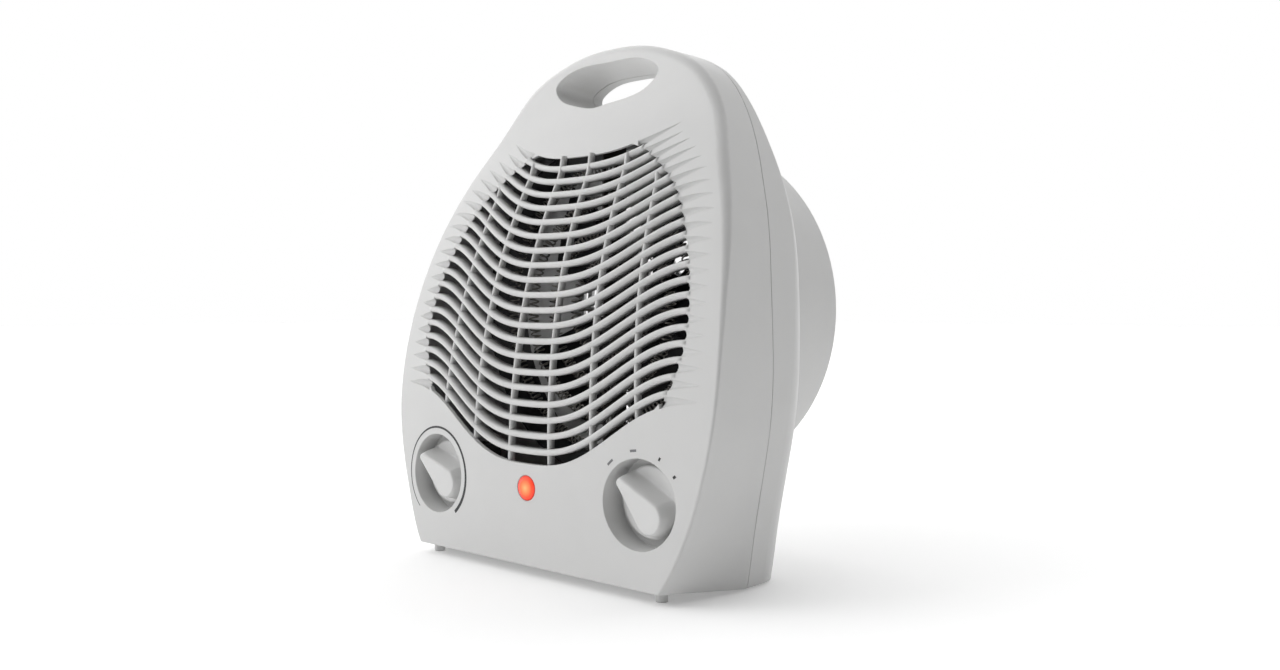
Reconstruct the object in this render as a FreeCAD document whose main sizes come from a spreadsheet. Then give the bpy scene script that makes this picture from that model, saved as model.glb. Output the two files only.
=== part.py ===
import FreeCAD, Part
import math
import os
import re

import Sketcher

# Upright fan heater: a leaning egg-shaped face with a curved louvre, two control knobs and a
# carrying slot, a flat-backed rear cover with a round fan barrel, and the heater and fan inside.
# Frame: +Z up, the front faces -Y, X = 0 is the middle plane, and Z = 0 is the ground.
# Depths in the sheet are measured back from the foot of the face; mid_depth centres them on Y = 0.

Vector = FreeCAD.Vector
ALONG_Y = FreeCAD.Rotation(Vector(1, 0, 0), -90)
TOWARD_FRONT = FreeCAD.Rotation(Vector(1, 0, 0), 90)
UPRIGHT = FreeCAD.Rotation()

doc = FreeCAD.newDocument("fan_heater")

# ---------------------------------------------------------------- driving dimensions

DIMENSIONS = [
    ("mid_depth", 64.4, "depth of the middle of the whole heater"),
    ("wall", 2.3, "wall of the covers"),
    ("back_plane", 81.5, "depth of the flat back"),
    ("tilt_start", 45.7, "depth where the flared foot of the sides ends, at the ground"),
    ("tilt_gain", 24, "how much deeper that line lies at the top of the heater"),
    ("loft_front", -8, "depth of the plane that the face outline is drawn on"),
    ("total_height", 258, "height of the top of the handle"),
    ("seam_gap", 0.35, "open joint between the covers"),
    ("lip_reach", 3, "how far the front cover's lip enters the rear cover"),
    ("lip_top", 214, "height where the lip ends"),
    ("lip_inset", 1.25, "outer face of the lip, in from the outside"),
    ("cavity_top", 249, "top of the hollow, under the solid handle bar"),
    ("barrel_rad", 90.2, "outer radius of the fan barrel"),
    ("barrel_wall", 2.2, "wall of the fan barrel"),
    ("barrel_height", 125.4, "height of the fan axis"),
    ("barrel_end", 128.9, "depth of the end of the barrel"),
    ("barrel_round", 1.5, "bevel of the end of the barrel"),
    ("slot_count", 21, "slots in the front grille"),
    ("slot_first", 55.6, "height of the lowest slot on the middle plane"),
    ("slot_pitch", 7.4, "spacing of the slots, measured along the face"),
    ("bar_thick", 3, "thickness of a louvre bar"),
    ("bar_depth", 6, "depth of a louvre bar"),
    ("rib_width", 1.7, "width of an upright rib"),
    ("rib_back", 0.9, "how far the ribs lie behind the bars"),
    ("rib_depth", 3.6, "depth of an upright rib"),
    ("wave_rise", 32, "how far a bar rises from the middle to the side"),
    ("wave_fade", 0.06, "how much less a bar rises per millimetre of its height"),
    ("wave_reach", 87, "half width where a bar is level again"),
    ("knob_side", 68.5, "knob axis to the middle plane"),
    ("knob_height", 42, "height of the knob axes"),
    ("dish_rad", 20, "radius of the dish around a knob"),
    ("dish_floor", 13.5, "depth of the dish floor"),
    ("dish_back", 15.7, "depth of the back of the dish floor"),
    ("skirt_rad", 16.3, "radius of a knob's skirt"),
    ("skirt_front", 10.2, "depth of the front of the skirt"),
    ("skirt_back", 12.9, "depth of the back of the skirt"),
    ("grip_front", 0.8, "depth of the front of the grip"),
    ("grip_tail_rad", 7.4, "radius of the wide end of the grip"),
    ("grip_tail_set", 7.6, "wide end's centre to the knob axis"),
    ("grip_tip_rad", 2.4, "radius of the pointer end of the grip"),
    ("grip_tip_set", 14.8, "pointer end's centre to the knob axis"),
    ("grip_round", 1.8, "rounding of the front of the grip"),
    ("thermostat_angle", 148, "rest direction of the thermostat pointer, from +X towards +Z"),
    ("selector_angle", 140, "rest direction of the selector pointer, from +X towards +Z"),
    ("shaft_rad", 3, "radius of a control shaft"),
    ("shaft_bore", 3.2, "bore for a control shaft"),
    ("bush_rad", 4.4, "outer radius of a control's bush"),
    ("bush_hole", 4.6, "hole for the bush in the dish floor"),
    ("control_front", 15.9, "depth of the front of the controls' bodies"),
    ("control_depth", 17, "depth of the controls' bodies"),
    ("control_size", 27, "width and height of the controls' bodies"),
    ("lamp_height", 42, "height of the pilot lamp"),
    ("lens_rad", 5.9, "radius of the pilot lens"),
    ("lens_hole", 6.1, "hole for the pilot lens"),
    ("lens_flange", 7.6, "radius of the flange behind the face"),
    ("lens_front", -0.8, "depth of the front of the lens"),
    ("screw_side", 77, "lower housing screws to the middle plane"),
    ("screw_low", 22, "height of the lower housing screws"),
    ("screw_side_top", 58, "upper housing screws to the middle plane"),
    ("screw_high", 213, "height of the upper housing screws"),
    ("post_rad", 5.6, "radius of a housing screw post"),
    ("post_joint", 64, "depth where the front and rear posts meet"),
    ("foot_side", 75.8, "front feet to the middle plane"),
    ("foot_depth", 9, "depth of the front feet"),
    ("foot_rad", 2.7, "radius of a front foot"),
    ("rear_foot_side", 68, "rear feet to the middle plane"),
    ("rear_foot_depth", 71, "depth of the rear feet"),
    ("rear_foot_rad", 5, "radius of a rear foot"),
    ("cord_height", 22, "height of the cord inlet"),
    ("cord_bore", 3.6, "radius of the cord inlet"),
    ("gland_rad", 5.4, "radius of the gland in its hole"),
    ("gland_flange", 7.5, "radius of the gland's flanges"),
    ("element_front", 52, "depth of the front of the heater frame"),
    ("element_back", 79, "depth of the back of the heater frame"),
    ("element_rad", 85, "outer radius of the heater frame"),
    ("element_wall", 1, "wall of the heater frame"),
    ("lug_set", 91.5, "heater frame lugs to the fan axis"),
    ("mica_thick", 1, "thickness of a mica board"),
    ("mica_front", 53, "depth of the front of the mica boards"),
    ("mica_depth", 17, "depth of the mica boards"),
    ("coil_rad", 3, "outer radius of the wound heating wire"),
    ("coil_depth", 58, "depth of the heating coils"),
    ("coil_pitch", 16, "radial spacing of the coil rings"),
    ("coil_first", 24, "radius of the inner coil ring"),
    ("fan_rad", 82, "radius of the fan"),
    ("fan_front", 82.5, "depth of the front of the fan hub"),
    ("fan_hub_rad", 15, "radius of the fan hub"),
    ("fan_hub_depth", 17, "depth of the fan hub"),
    ("fan_blades", 5, "number of blades"),
    ("motor_shaft_rad", 1.6, "radius of the motor shaft"),
    ("motor_rad", 17.5, "radius of the motor"),
    ("motor_front", 102.6, "depth of the front of the motor"),
    ("motor_length", 20, "length of the motor can"),
    ("mount_front", 100, "depth of the front of the motor mount"),
    ("mount_thick", 2.5, "thickness of the motor mount"),
    ("mount_post_set", 83.8, "motor mount screws to the fan axis"),
    ("rear_grille_front", 126, "depth of the front of the rear grille"),
    ("rear_grille_thick", 2.4, "thickness of the rear grille"),
]

sheet = doc.addObject("Spreadsheet::Sheet", "dims")
for row, (alias, value, meaning) in enumerate(DIMENSIONS, start=1):
    sheet.set("A%d" % row, meaning)
    sheet.set("B%d" % row, str(value))
    sheet.setAlias("B%d" % row, alias)
doc.recompute()


# ---------------------------------------------------------------- small helpers

def linked(expression):
    """The expression with every alias read from the sheet."""
    return re.sub(r"\b([a-z][a-z_]+)\b", r"dims.\1", expression)


def number(expression):
    """Value of an expression of aliases, for the shapes that are worked out in code."""
    return float(sheet.evalExpression(expression))


def bind(item, **properties):
    for name, expression in properties.items():
        item.setExpression(name, linked(expression))
    return item


def place(item, x, depth, z, turn=UPRIGHT):
    item.Placement = FreeCAD.Placement(Vector(), turn)
    item.setExpression("Placement.Base.x", linked(x))
    item.setExpression("Placement.Base.y", linked("%s - mid_depth" % depth))
    item.setExpression("Placement.Base.z", linked(z))
    return item


def named(item, label):
    item.Label = label
    return item


def cylinder(label, radius, length, x, depth, z, turn=ALONG_Y):
    item = bind(doc.addObject("Part::Cylinder", label), Radius=radius, Height=length)
    return place(item, x, depth, z, turn)


def block(label, width, deep, height, x, depth, z):
    """A box centred on x and z, from the given depth backwards."""
    item = bind(doc.addObject("Part::Box", label), Length=width, Width=deep, Height=height)
    return place(item, "%s - (%s) / 2" % (x, width), depth, "%s - (%s) / 2" % (z, height))


def solid(label, shape):
    """A piece whose outline is free-form: its shape is drawn in sheet depths."""
    item = doc.addObject("Part::Feature", label)
    item.Shape = shape
    shift = FreeCAD.Placement(Vector(0, -number("mid_depth"), 0), UPRIGHT)
    item.Placement = shift.multiply(shape.Placement)
    return item


def fuse(label, items):
    item = doc.addObject("Part::MultiFuse", label)
    item.Shapes = items
    return item


def cut(label, base, tool):
    item = doc.addObject("Part::Cut", label)
    item.Base = base
    item.Tool = tool
    return item


def common(label, items):
    item = doc.addObject("Part::MultiCommon", label)
    item.Shapes = items
    return item


def group(label, items):
    item = doc.addObject("Part::Compound", label)
    item.Links = items
    return item


def tube(label, radius, bore, length, x, depth, z):
    outer = cylinder(label + "_outer", radius, length, x, depth, z)
    inner = cylinder(label + "_inner", bore, length, x, depth, z)
    return cut(label, outer, inner)


def origin_plane(body, role):
    return [item for item in body.Origin.OriginFeatures if item.Role == role][0]


def polygon_sketch(body, label, role, corners):
    """A closed polygon with every corner tied to the sheet; corners are pairs of expressions."""
    sketch = body.newObject("Sketcher::SketchObject", label)
    sketch.AttachmentSupport = (origin_plane(body, role), [""])
    sketch.MapMode = "FlatFace"
    points = [Vector(number(across), number(along), 0) for across, along in corners]
    for start, end in zip(points, points[1:] + points[:1]):
        sketch.addGeometry(Part.LineSegment(start, end))
    for index in range(len(points)):
        following = (index + 1) % len(points)
        sketch.addConstraint(Sketcher.Constraint("Coincident", index, 2, following, 1))
    for index, (corner, point) in enumerate(zip(corners, points)):
        tie(sketch, "DistanceX", index, point.x, corner[0])
        tie(sketch, "DistanceY", index, point.y, corner[1])
    return sketch


def tie(sketch, kind, index, value, expression):
    constraint = sketch.addConstraint(Sketcher.Constraint(kind, -1, 1, index, 1, value))
    if expression != "0":
        sketch.setExpression("Constraints[%d]" % constraint, linked(expression))


def lathe(label, corners, x, depth, z):
    """A body turned about an axis along Y; corners are (radius, depth behind its front)."""
    body = doc.addObject("PartDesign::Body", label)
    sketch = polygon_sketch(body, label + "_profile", "XY_Plane", corners)
    turned = body.newObject("PartDesign::Revolution", label + "_turned")
    turned.Profile = sketch
    turned.ReferenceAxis = (sketch, ["V_Axis"])
    turned.Angle = 360
    sketch.Visibility = False
    return place(body, x, depth, z)


def screw(label, x, depth, z, head_rad, head_length, shank_rad, shank_length, turn):
    """A pan-head screw whose shank points along the turned axis, from under its head."""
    side = 1 if turn == ALONG_Y else -1
    head_depth = "%s - (%s) * %d" % (depth, head_length, side)
    head = cylinder(label + "_head", head_rad, head_length, x, head_depth, z, turn)
    shank = cylinder(label + "_shank", shank_rad, shank_length, x, depth, z, turn)
    return fuse(label, [head, shank])


def mirrored(points):
    """The points of a half outline, with the other half added from the top down."""
    return points + [(-across, height) for across, height in reversed(points) if across > 0]


def spline_through(points, closed=False):
    curve = Part.BSplineCurve()
    curve.interpolate(Points=points, PeriodicFlag=closed)
    return curve


# ---------------------------------------------------------------- outer form

# Half outlines of the heater seen from the front, as (half width, height).
UPPER_OUTLINE = [(104.7, 72), (106, 95), (103.5, 132), (97.4, 165), (84, 200), (70.6, 225.5),
                 (56.8, 241.5), (39, 251), (19.5, 256.6), (0, 258)]
FACE_FOOT = [(79, 6), (84.9, 14), (91.2, 26), (97, 40), (101.4, 55)]
SEAM_FOOT = [(93, 1), (95, 14), (96.8, 26), (99.3, 40), (102, 55)]

# Heights where the outline is divided, so that its roundings can change along it.
DIVISIONS = [26, 132, 200, 241.5]

# The face as (height, depth on the middle plane, how much deeper it is at half width 120).
FACE_STATIONS = [(-10, 0, 1), (10, 0, 1.6), (35, 0, 5.2), (60, 0.1, 6.4), (90, 1.7, 8.2),
                 (120, 5.8, 10.3), (150, 13.1, 12.5), (180, 24.5, 13.8), (200, 35, 13.5),
                 (216, 45, 12), (232, 51.5, 10), (248, 55.8, 6), (262, 57.5, 5)]
FACE_COLUMNS = [-120, -80, -40, 0, 40, 80, 120]
STATION_HALF_WIDTH = 120

# The joint between the covers, seen from the side, as (depth, height).
SEAM_LINE = [(47.8, -10), (47.9, 50), (48.9, 100), (52.1, 140), (57.3, 165), (62.8, 185),
             (68, 200), (73.3, 220), (75.9, 236), (77.2, 250), (77.4, 270)]

# Rounding of the outer edges as (height, radius).
FRONT_ROUNDING = [(0, 1.2), (60, 1.2), (132, 2.5), (200, 6), (241.5, 6), (258, 5)]
BACK_ROUNDING = [(0, 21), (26, 21), (132, 11.5), (200, 1.5), (258, 1.5)]
SMALLEST_ROUNDING = 0.4
CLEAR = 150


def along(table, position):
    """Straight-line reading of a (position, value) table."""
    for (start, first), (end, last) in zip(table, table[1:]):
        if position <= end:
            return first + (last - first) * (position - start) / (end - start)
    return table[-1][1]


def inset_points(points, inset):
    """The mirrored outline moved inwards; its two foot corners slide along the straight base."""
    moved = []
    for index, (across, height) in enumerate(points):
        before = points[max(index - 1, 0)]
        after = points[min(index + 1, len(points) - 1)]
        run = Vector(after[0] - before[0], after[1] - before[1], 0)
        run.normalize()
        moved.append((across - run.y * inset, height + run.x * inset))
    base = points[0][1] + inset
    moved[0] = (moved[0][0], base)
    moved[-1] = (moved[-1][0], base)
    return moved


def outline_wire(points, depth_at):
    """A closed wire, divided at DIVISIONS on both sides, with a straight base."""
    corners = [Vector(across, depth_at(height), height) for across, height in points]
    curve = spline_through(corners)
    half = len(points) // 2
    marks = []
    for side in (points[:half], points[half + 1:]):
        for height in DIVISIONS:
            near = min(side, key=lambda point: abs(point[1] - height))
            marks.append(curve.parameter(corners[points.index(near)]))
    knots = [curve.FirstParameter] + sorted(marks) + [curve.LastParameter]
    edges = [Part.Edge(curve, start, end) for start, end in zip(knots, knots[1:])]
    edges.append(Part.makeLine(corners[-1], corners[0]))
    return Part.Wire(edges)


def face_solid(inset):
    """Everything behind the face, moved back by inset."""
    rows = []
    for height, middle, sag in FACE_STATIONS:
        bend = sag / STATION_HALF_WIDTH ** 2
        rows.append([Vector(x, middle + inset + bend * x * x, height) for x in FACE_COLUMNS])
    surface = Part.BSplineSurface()
    surface.interpolate(rows)
    return surface.toShape().extrude(Vector(0, 2 * CLEAR, 0))


def same_edge_index(shape, wanted):
    for index, edge in enumerate(shape.Edges, start=1):
        if edge.isSame(wanted):
            return index
    return 0


def edge_roundings(shape, edges, table, inset):
    """Entries for a variable fillet, with radii read from a table at the edges' ends."""
    entries = []
    for edge in edges:
        start, end = edge.Vertexes[0].Point, edge.Vertexes[-1].Point
        if abs(start.z - end.z) < 1 and start.z < 20:
            continue
        radii = [max(along(table, point.z) - inset, SMALLEST_ROUNDING) for point in (start, end)]
        entries.append((same_edge_index(shape, edge), radii[0], radii[1]))
    return entries


def envelope(label, inset):
    """The closed outer form of the heater without its barrel, moved inwards by inset."""
    gain = number("tilt_gain / total_height")
    face_points = inset_points(mirrored(FACE_FOOT + UPPER_OUTLINE), inset)
    seam_points = inset_points(mirrored(SEAM_FOOT + UPPER_OUTLINE), inset)
    front = outline_wire(face_points, lambda height: number("loft_front"))
    middle = outline_wire(seam_points, lambda height: number("tilt_start") + gain * height)
    flared = Part.makeLoft([front, middle], True, True)
    straight = Part.Face(middle).extrude(Vector(0, CLEAR, 0))
    back = number("back_plane") - inset
    slab = Part.makeBox(2 * CLEAR, back + CLEAR, 3 * CLEAR, Vector(-CLEAR, -CLEAR, -CLEAR))
    form = flared.fuse(straight).common(slab).common(face_solid(inset))
    form = form.Solids[0]
    face = min(form.Faces, key=lambda item: item.CenterOfMass.y)
    rear = max(form.Faces, key=lambda item: item.CenterOfMass.y)
    rounded = doc.addObject("Part::Fillet", label)
    rounded.Base = solid(label + "_sharp", form)
    rounded.Edges = (edge_roundings(form, face.OuterWire.Edges, FRONT_ROUNDING, inset)
                     + edge_roundings(form, rear.OuterWire.Edges, BACK_ROUNDING, inset))
    return rounded


def front_region(label, shift):
    """Everything in front of the joint, moved back by shift."""
    line = spline_through([Vector(-CLEAR, depth + shift, height) for depth, height in SEAM_LINE])
    top, foot = line.EndPoint, line.StartPoint
    corners = [top, Vector(-CLEAR, -CLEAR, top.z), Vector(-CLEAR, -CLEAR, foot.z), foot]
    edges = [line.toShape()] + [Part.makeLine(a, b) for a, b in zip(corners, corners[1:])]
    return solid(label, Part.Face(Part.Wire(edges)).extrude(Vector(2 * CLEAR, 0, 0)))


outside = envelope("outside", 0)
inside = envelope("inside", number("wall"))
lip_outside = envelope("lip_outside", number("lip_inset"))
doc.recompute()


# ---------------------------------------------------------------- louvre and carrying slot

# Half width of the louvre's open field, as (height, half width).
FIELD_SIDE = [(82, 75.5), (92, 81.3), (104, 85.4), (117, 87), (131, 85.8), (145, 82.6), (158, 78),
              (170, 72.4), (181, 65.4), (190, 56.4), (199, 44.5), (206, 32)]

# Upright ribs as (offset from the middle at the foot, offset at the head, height of the head).
RIBS = [(13.6, 9.5, 202), (39.8, 32, 200), (65, 53.5, 187)]
LOUVRE_DEPTH = 60
WAVE_STEPS = 6
BAR_STATIONS = 6
RIB_STATIONS = 8
BAR_END_GAP = 1
EDGE_STEPS = 200
SETTLING_STEPS = 30

# The carrying slot seen from the front, as (half width, height), at the face and at the back.
SLOT_OPENING_FRONT = [(0, 227.3), (21.5, 230.6), (34, 236.5), (38.6, 244.2), (32.5, 249.8),
                      (0, 252.8)]
SLOT_OPENING_REAR = [(0, 226.3), (14, 228), (23, 231.5), (26, 235.5), (21.5, 240), (0, 244)]
SLOT_FRONT_DEPTH = 42
SLOT_REAR_DEPTH = 86

face_form = face_solid(0)


def face_depth(x, height):
    """Depth of the face at a point seen from the front."""
    start = Vector(x, -CLEAR, height)
    probe = Part.makeLine(start, start + Vector(0, 2 * CLEAR, 0)).common(face_form)
    return probe.BoundBox.YMin


def wave(x, height):
    """Rise of a louvre bar above its height on the middle plane."""
    turn = math.pi * min(abs(x) / number("wave_reach"), 1)
    rise = number("wave_rise") - number("wave_fade") * (height - number("slot_first"))
    return rise * ((1 - math.cos(turn)) / 2) ** 1.5


def slot_heights():
    """Heights of the slots on the middle plane, evenly spaced along the leaning face."""
    heights = [number("slot_first")]
    while len(heights) < number("slot_count"):
        height = heights[-1]
        slope = face_depth(0, height + 1) - face_depth(0, height)
        heights.append(height + number("slot_pitch") / math.hypot(1, slope))
    return heights


def wave_curve(height, half_width, depth=0):
    """A louvre curve from left to right at a height on the middle plane."""
    steps = range(-WAVE_STEPS, WAVE_STEPS + 1)
    across = [half_width * step / WAVE_STEPS for step in steps]
    return spline_through([Vector(x, depth, height + wave(x, height)) for x in across])


def louvre_field(lowest, highest):
    """The open field of the louvre, as a prism through the face."""
    side = [Vector(half_width, 0, height) for height, half_width in FIELD_SIDE]
    other = [Vector(-point.x, 0, point.z) for point in side]
    foot = wave_curve(lowest, side[0].x)
    head = wave_curve(highest, side[-1].x)
    side[0].z, side[-1].z = foot.EndPoint.z, head.EndPoint.z
    other[0].z, other[-1].z = side[0].z, side[-1].z
    edges = [foot.toShape(), spline_through(side).toShape()]
    edges += [head.toShape(), spline_through(other).toShape()]
    outline = Part.Wire(Part.__sortEdges__(edges))
    prism = Part.Face(outline).extrude(Vector(0, LOUVRE_DEPTH, 0))
    prism.translate(Vector(0, -LOUVRE_DEPTH / 4, 0))
    return prism


field_edge = spline_through([Vector(half_width, 0, height) for height, half_width in FIELD_SIDE])
FIELD_EDGE = [(point.z, point.x) for point in field_edge.discretize(EDGE_STEPS)]


def field_half_width(height):
    return along(FIELD_EDGE, height)


def bar_end(height):
    """Half width of the field where a bar at a height on the middle plane meets its edge."""
    half_width = number("wave_reach") / 2
    half_thick = number("bar_thick") / 2
    for _ in range(SETTLING_STEPS):
        middle = height + wave(half_width, height)
        wider = min(field_half_width(middle - half_thick), field_half_width(middle + half_thick))
        half_width = (half_width + wider) / 2
    return half_width


def louvre_bar(height):
    """One bar, lofted through upright sections that follow the face."""
    half, deep = number("bar_thick") / 2, number("bar_depth")
    reach = bar_end(height) - BAR_END_GAP
    sections = []
    for step in range(-BAR_STATIONS, BAR_STATIONS + 1):
        x = reach * step / BAR_STATIONS
        middle = height + wave(x, height)
        front = face_depth(x, middle)
        corners = [(front, middle - half), (front, middle + half),
                   (front + deep, middle + half), (front + deep, middle - half)]
        sections.append(Part.makePolygon([Vector(x, y, z) for y, z in corners + corners[:1]]))
    return Part.makeLoft(sections, True)


def upright_rib(side, foot_offset, head_offset, foot, head, top):
    """One rib, lofted through level sections that follow the face just behind the bars."""
    half, deep = number("rib_width") / 2, number("rib_depth")
    foot += wave(foot_offset, foot) + BAR_END_GAP
    head = min(head + wave(head_offset, head) - BAR_END_GAP, top)
    sections = []
    for step in range(RIB_STATIONS + 1):
        share = step / RIB_STATIONS
        x = side * (foot_offset + (head_offset - foot_offset) * share)
        height = foot + (head - foot) * share
        front = face_depth(x, height) + number("rib_back")
        corners = [(x - half, front), (x + half, front), (x + half, front + deep),
                   (x - half, front + deep)]
        sections.append(Part.makePolygon([Vector(*corner, height)
                                          for corner in corners + corners[:1]]))
    return Part.makeLoft(sections, True)


def louvre(heights, lowest, highest):
    pieces = [louvre_bar((low + high) / 2) for low, high in zip(heights, heights[1:])]
    for foot, head, top in RIBS:
        pieces += [upright_rib(side, foot, head, lowest, highest, top) for side in (-1, 1)]
    return pieces[0].fuse(pieces[1:])


def opening_wire(points, depth, grow):
    loop = points + [(-across, height) for across, height in reversed(points) if across > 0]
    edge = []
    for before, here, after in zip(loop[-1:] + loop[:-1], loop, loop[1:] + loop[:1]):
        run = Vector(after[0] - before[0], 0, after[1] - before[1]).normalize()
        edge.append(Vector(here[0] + run.z * grow, depth, here[1] - run.x * grow))
    return Part.Wire([spline_through(edge, True).toShape()])


def handle_funnel(grow):
    """The tapering carrying slot from the face to the back, or with grow, its outer wall."""
    front = opening_wire(SLOT_OPENING_FRONT, SLOT_FRONT_DEPTH, grow)
    rear = opening_wire(SLOT_OPENING_REAR, SLOT_REAR_DEPTH, grow)
    return Part.makeLoft([front, rear], True, True)


rows = slot_heights()
half_pitch = number("slot_pitch - bar_thick") / 2
lowest, highest = rows[0] - half_pitch, rows[-1] + half_pitch
field = solid("louvre_field", louvre_field(lowest, highest))
front_grille = solid("front_grille", louvre(rows, lowest, highest))
funnel = solid("handle_funnel", handle_funnel(0))
funnel_wall = solid("handle_funnel_wall", handle_funnel(number("wall")))


# ---------------------------------------------------------------- covers

SCREW_PLACES = [("screw_side", "screw_low"), ("-screw_side", "screw_low"),
                ("screw_side_top", "screw_high"), ("-screw_side_top", "screw_high")]
KNOB_SIDES = [("thermostat", "-knob_side"), ("selector", "knob_side")]

ceiling = block("cavity_ceiling", "total_height", "2 * back_plane", "total_height",
                "0", "0", "cavity_top + total_height / 2")
hollow = cut("hollow", inside, fuse("hollow_stops", [ceiling, funnel_wall]))
front_zone = front_region("front_zone", 0)
rear_stop = front_region("rear_stop", number("seam_gap"))
lip_zone = front_region("lip_zone", number("lip_reach"))
lip_stop = front_region("lip_stop", number("lip_reach + seam_gap"))
under_lip_top = block("under_lip_top", "total_height", "2 * back_plane", "lip_top",
                      "0", "-back_plane / 2", "lip_top / 2")

lip_mass = common("lip_mass", [lip_outside, lip_zone, under_lip_top])
front_posts = []
rear_posts = []
post_holes = []
head_wells = []
for index, (side, height) in enumerate(SCREW_PLACES):
    front_posts.append(cylinder("front_post_%d" % index, "post_rad", "post_joint - 2", side, "2",
                                height))
    rear_posts.append(cylinder("rear_post_%d" % index, "post_rad",
                               "back_plane - post_joint - seam_gap", side,
                               "post_joint + seam_gap", height))
    post_holes.append(cylinder("post_hole_%d" % index, "1.5", "back_plane - post_joint", side,
                               "post_joint - 11", height))
    head_wells.append(cylinder("head_well_%d" % index, "post_rad - 1.6",
                               "back_plane - post_joint", side, "post_joint + 4", height))

dish_cups = []
dish_cuts = []
for name, side in KNOB_SIDES:
    dish_cups.append(cylinder(name + "_cup", "dish_rad + wall", "dish_back", side, "0",
                              "knob_height"))
    dish_cuts.append(cylinder(name + "_dish", "dish_rad", "dish_floor + 20", side, "-20",
                              "knob_height"))
    dish_cuts.append(cylinder(name + "_bush_hole", "bush_hole", "dish_back", side, "5",
                              "knob_height"))

inner_posts = common("inner_front_posts", [fuse("front_posts", front_posts + dish_cups), outside])
front_mass = fuse("front_mass", [common("front_form", [outside, front_zone]), lip_mass])
front_walls = cut("front_walls", cut("front_body", front_mass, hollow), funnel)
lens_opening = cylinder("lens_opening", "lens_hole", "20", "0", "-10", "lamp_height")
front_raw = fuse("front_raw", [front_walls, inner_posts])
front_cuts = fuse("front_cuts", dish_cuts + post_holes + [lens_opening, field])
front_cover = cut("front_cover", front_raw, front_cuts)

rear_form = cut("rear_form", outside, rear_stop)
rear_walls = cut("rear_walls", cut("rear_body", rear_form, hollow), funnel)
lip_space = common("lip_space", [lip_outside, lip_stop, under_lip_top])
barrel_depth = "back_plane - wall"
barrel = lathe("barrel", [("barrel_rad - barrel_wall", "0"), ("barrel_rad", "0"),
                          ("barrel_rad", "barrel_end - back_plane + wall - barrel_round"),
                          ("barrel_rad - barrel_round", "barrel_end - back_plane + wall"),
                          ("barrel_rad - barrel_wall", "barrel_end - back_plane + wall")],
               "0", barrel_depth, "barrel_height")
barrel_bore = cylinder("barrel_bore", "barrel_rad - barrel_wall", "barrel_end", "0",
                       "back_plane - 2 * wall", "barrel_height")
mount_posts = []
mount_holes = []
for quarter in range(4):
    angle = math.radians(45 + 90 * quarter)
    side = "mount_post_set * %.6f" % math.cos(angle)
    rise = "barrel_height + mount_post_set * %.6f" % math.sin(angle)
    mount_posts.append(cylinder("mount_post_%d" % quarter, "5.4", "12", side,
                                "mount_front + mount_thick", rise))
    mount_holes.append(cylinder("mount_hole_%d" % quarter, "1.3", "10", side,
                                "mount_front + mount_thick", rise))
barrel_form = cylinder("barrel_form", "barrel_rad", "barrel_end", "0", "back_plane",
                       "barrel_height")
kept_posts = common("kept_mount_posts", [fuse("mount_posts", mount_posts), barrel_form])
cord_hole = cylinder("cord_hole", "gland_rad", "20", "0", "back_plane - 10", "cord_height")
rear_shell = cut("rear_shell", rear_walls, fuse("rear_stops", [lip_space, barrel_bore]))
inner_rear_posts = common("inner_rear_posts", [fuse("rear_posts", rear_posts), outside])
rear_raw = fuse("rear_raw", [rear_shell, barrel, kept_posts, inner_rear_posts])
rear_cover = cut("rear_cover", rear_raw,
                 fuse("rear_cuts", head_wells + post_holes + mount_holes + [cord_hole]))


# ---------------------------------------------------------------- feet and housing screws

def feet(label, side, depth, radius, height):
    pegs = [cylinder("%s_%d" % (label, index), radius, height, sign + side, depth, "0", UPRIGHT)
            for index, sign in enumerate(("", "-"))]
    return cut(label, group(label + "_blanks", pegs), outside)


front_feet = feet("front_feet", "foot_side", "foot_depth", "foot_rad", "9")
rear_feet = feet("rear_feet", "rear_foot_side", "rear_foot_depth", "rear_foot_rad", "3")

housing_screws = group("housing_screws", [
    screw("housing_screw_%d" % index, side, "post_joint + 4", height, "3.4", "2.2", "1.5", "14",
          TOWARD_FRONT) for index, (side, height) in enumerate(SCREW_PLACES)])


# ---------------------------------------------------------------- knobs and controls

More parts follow.
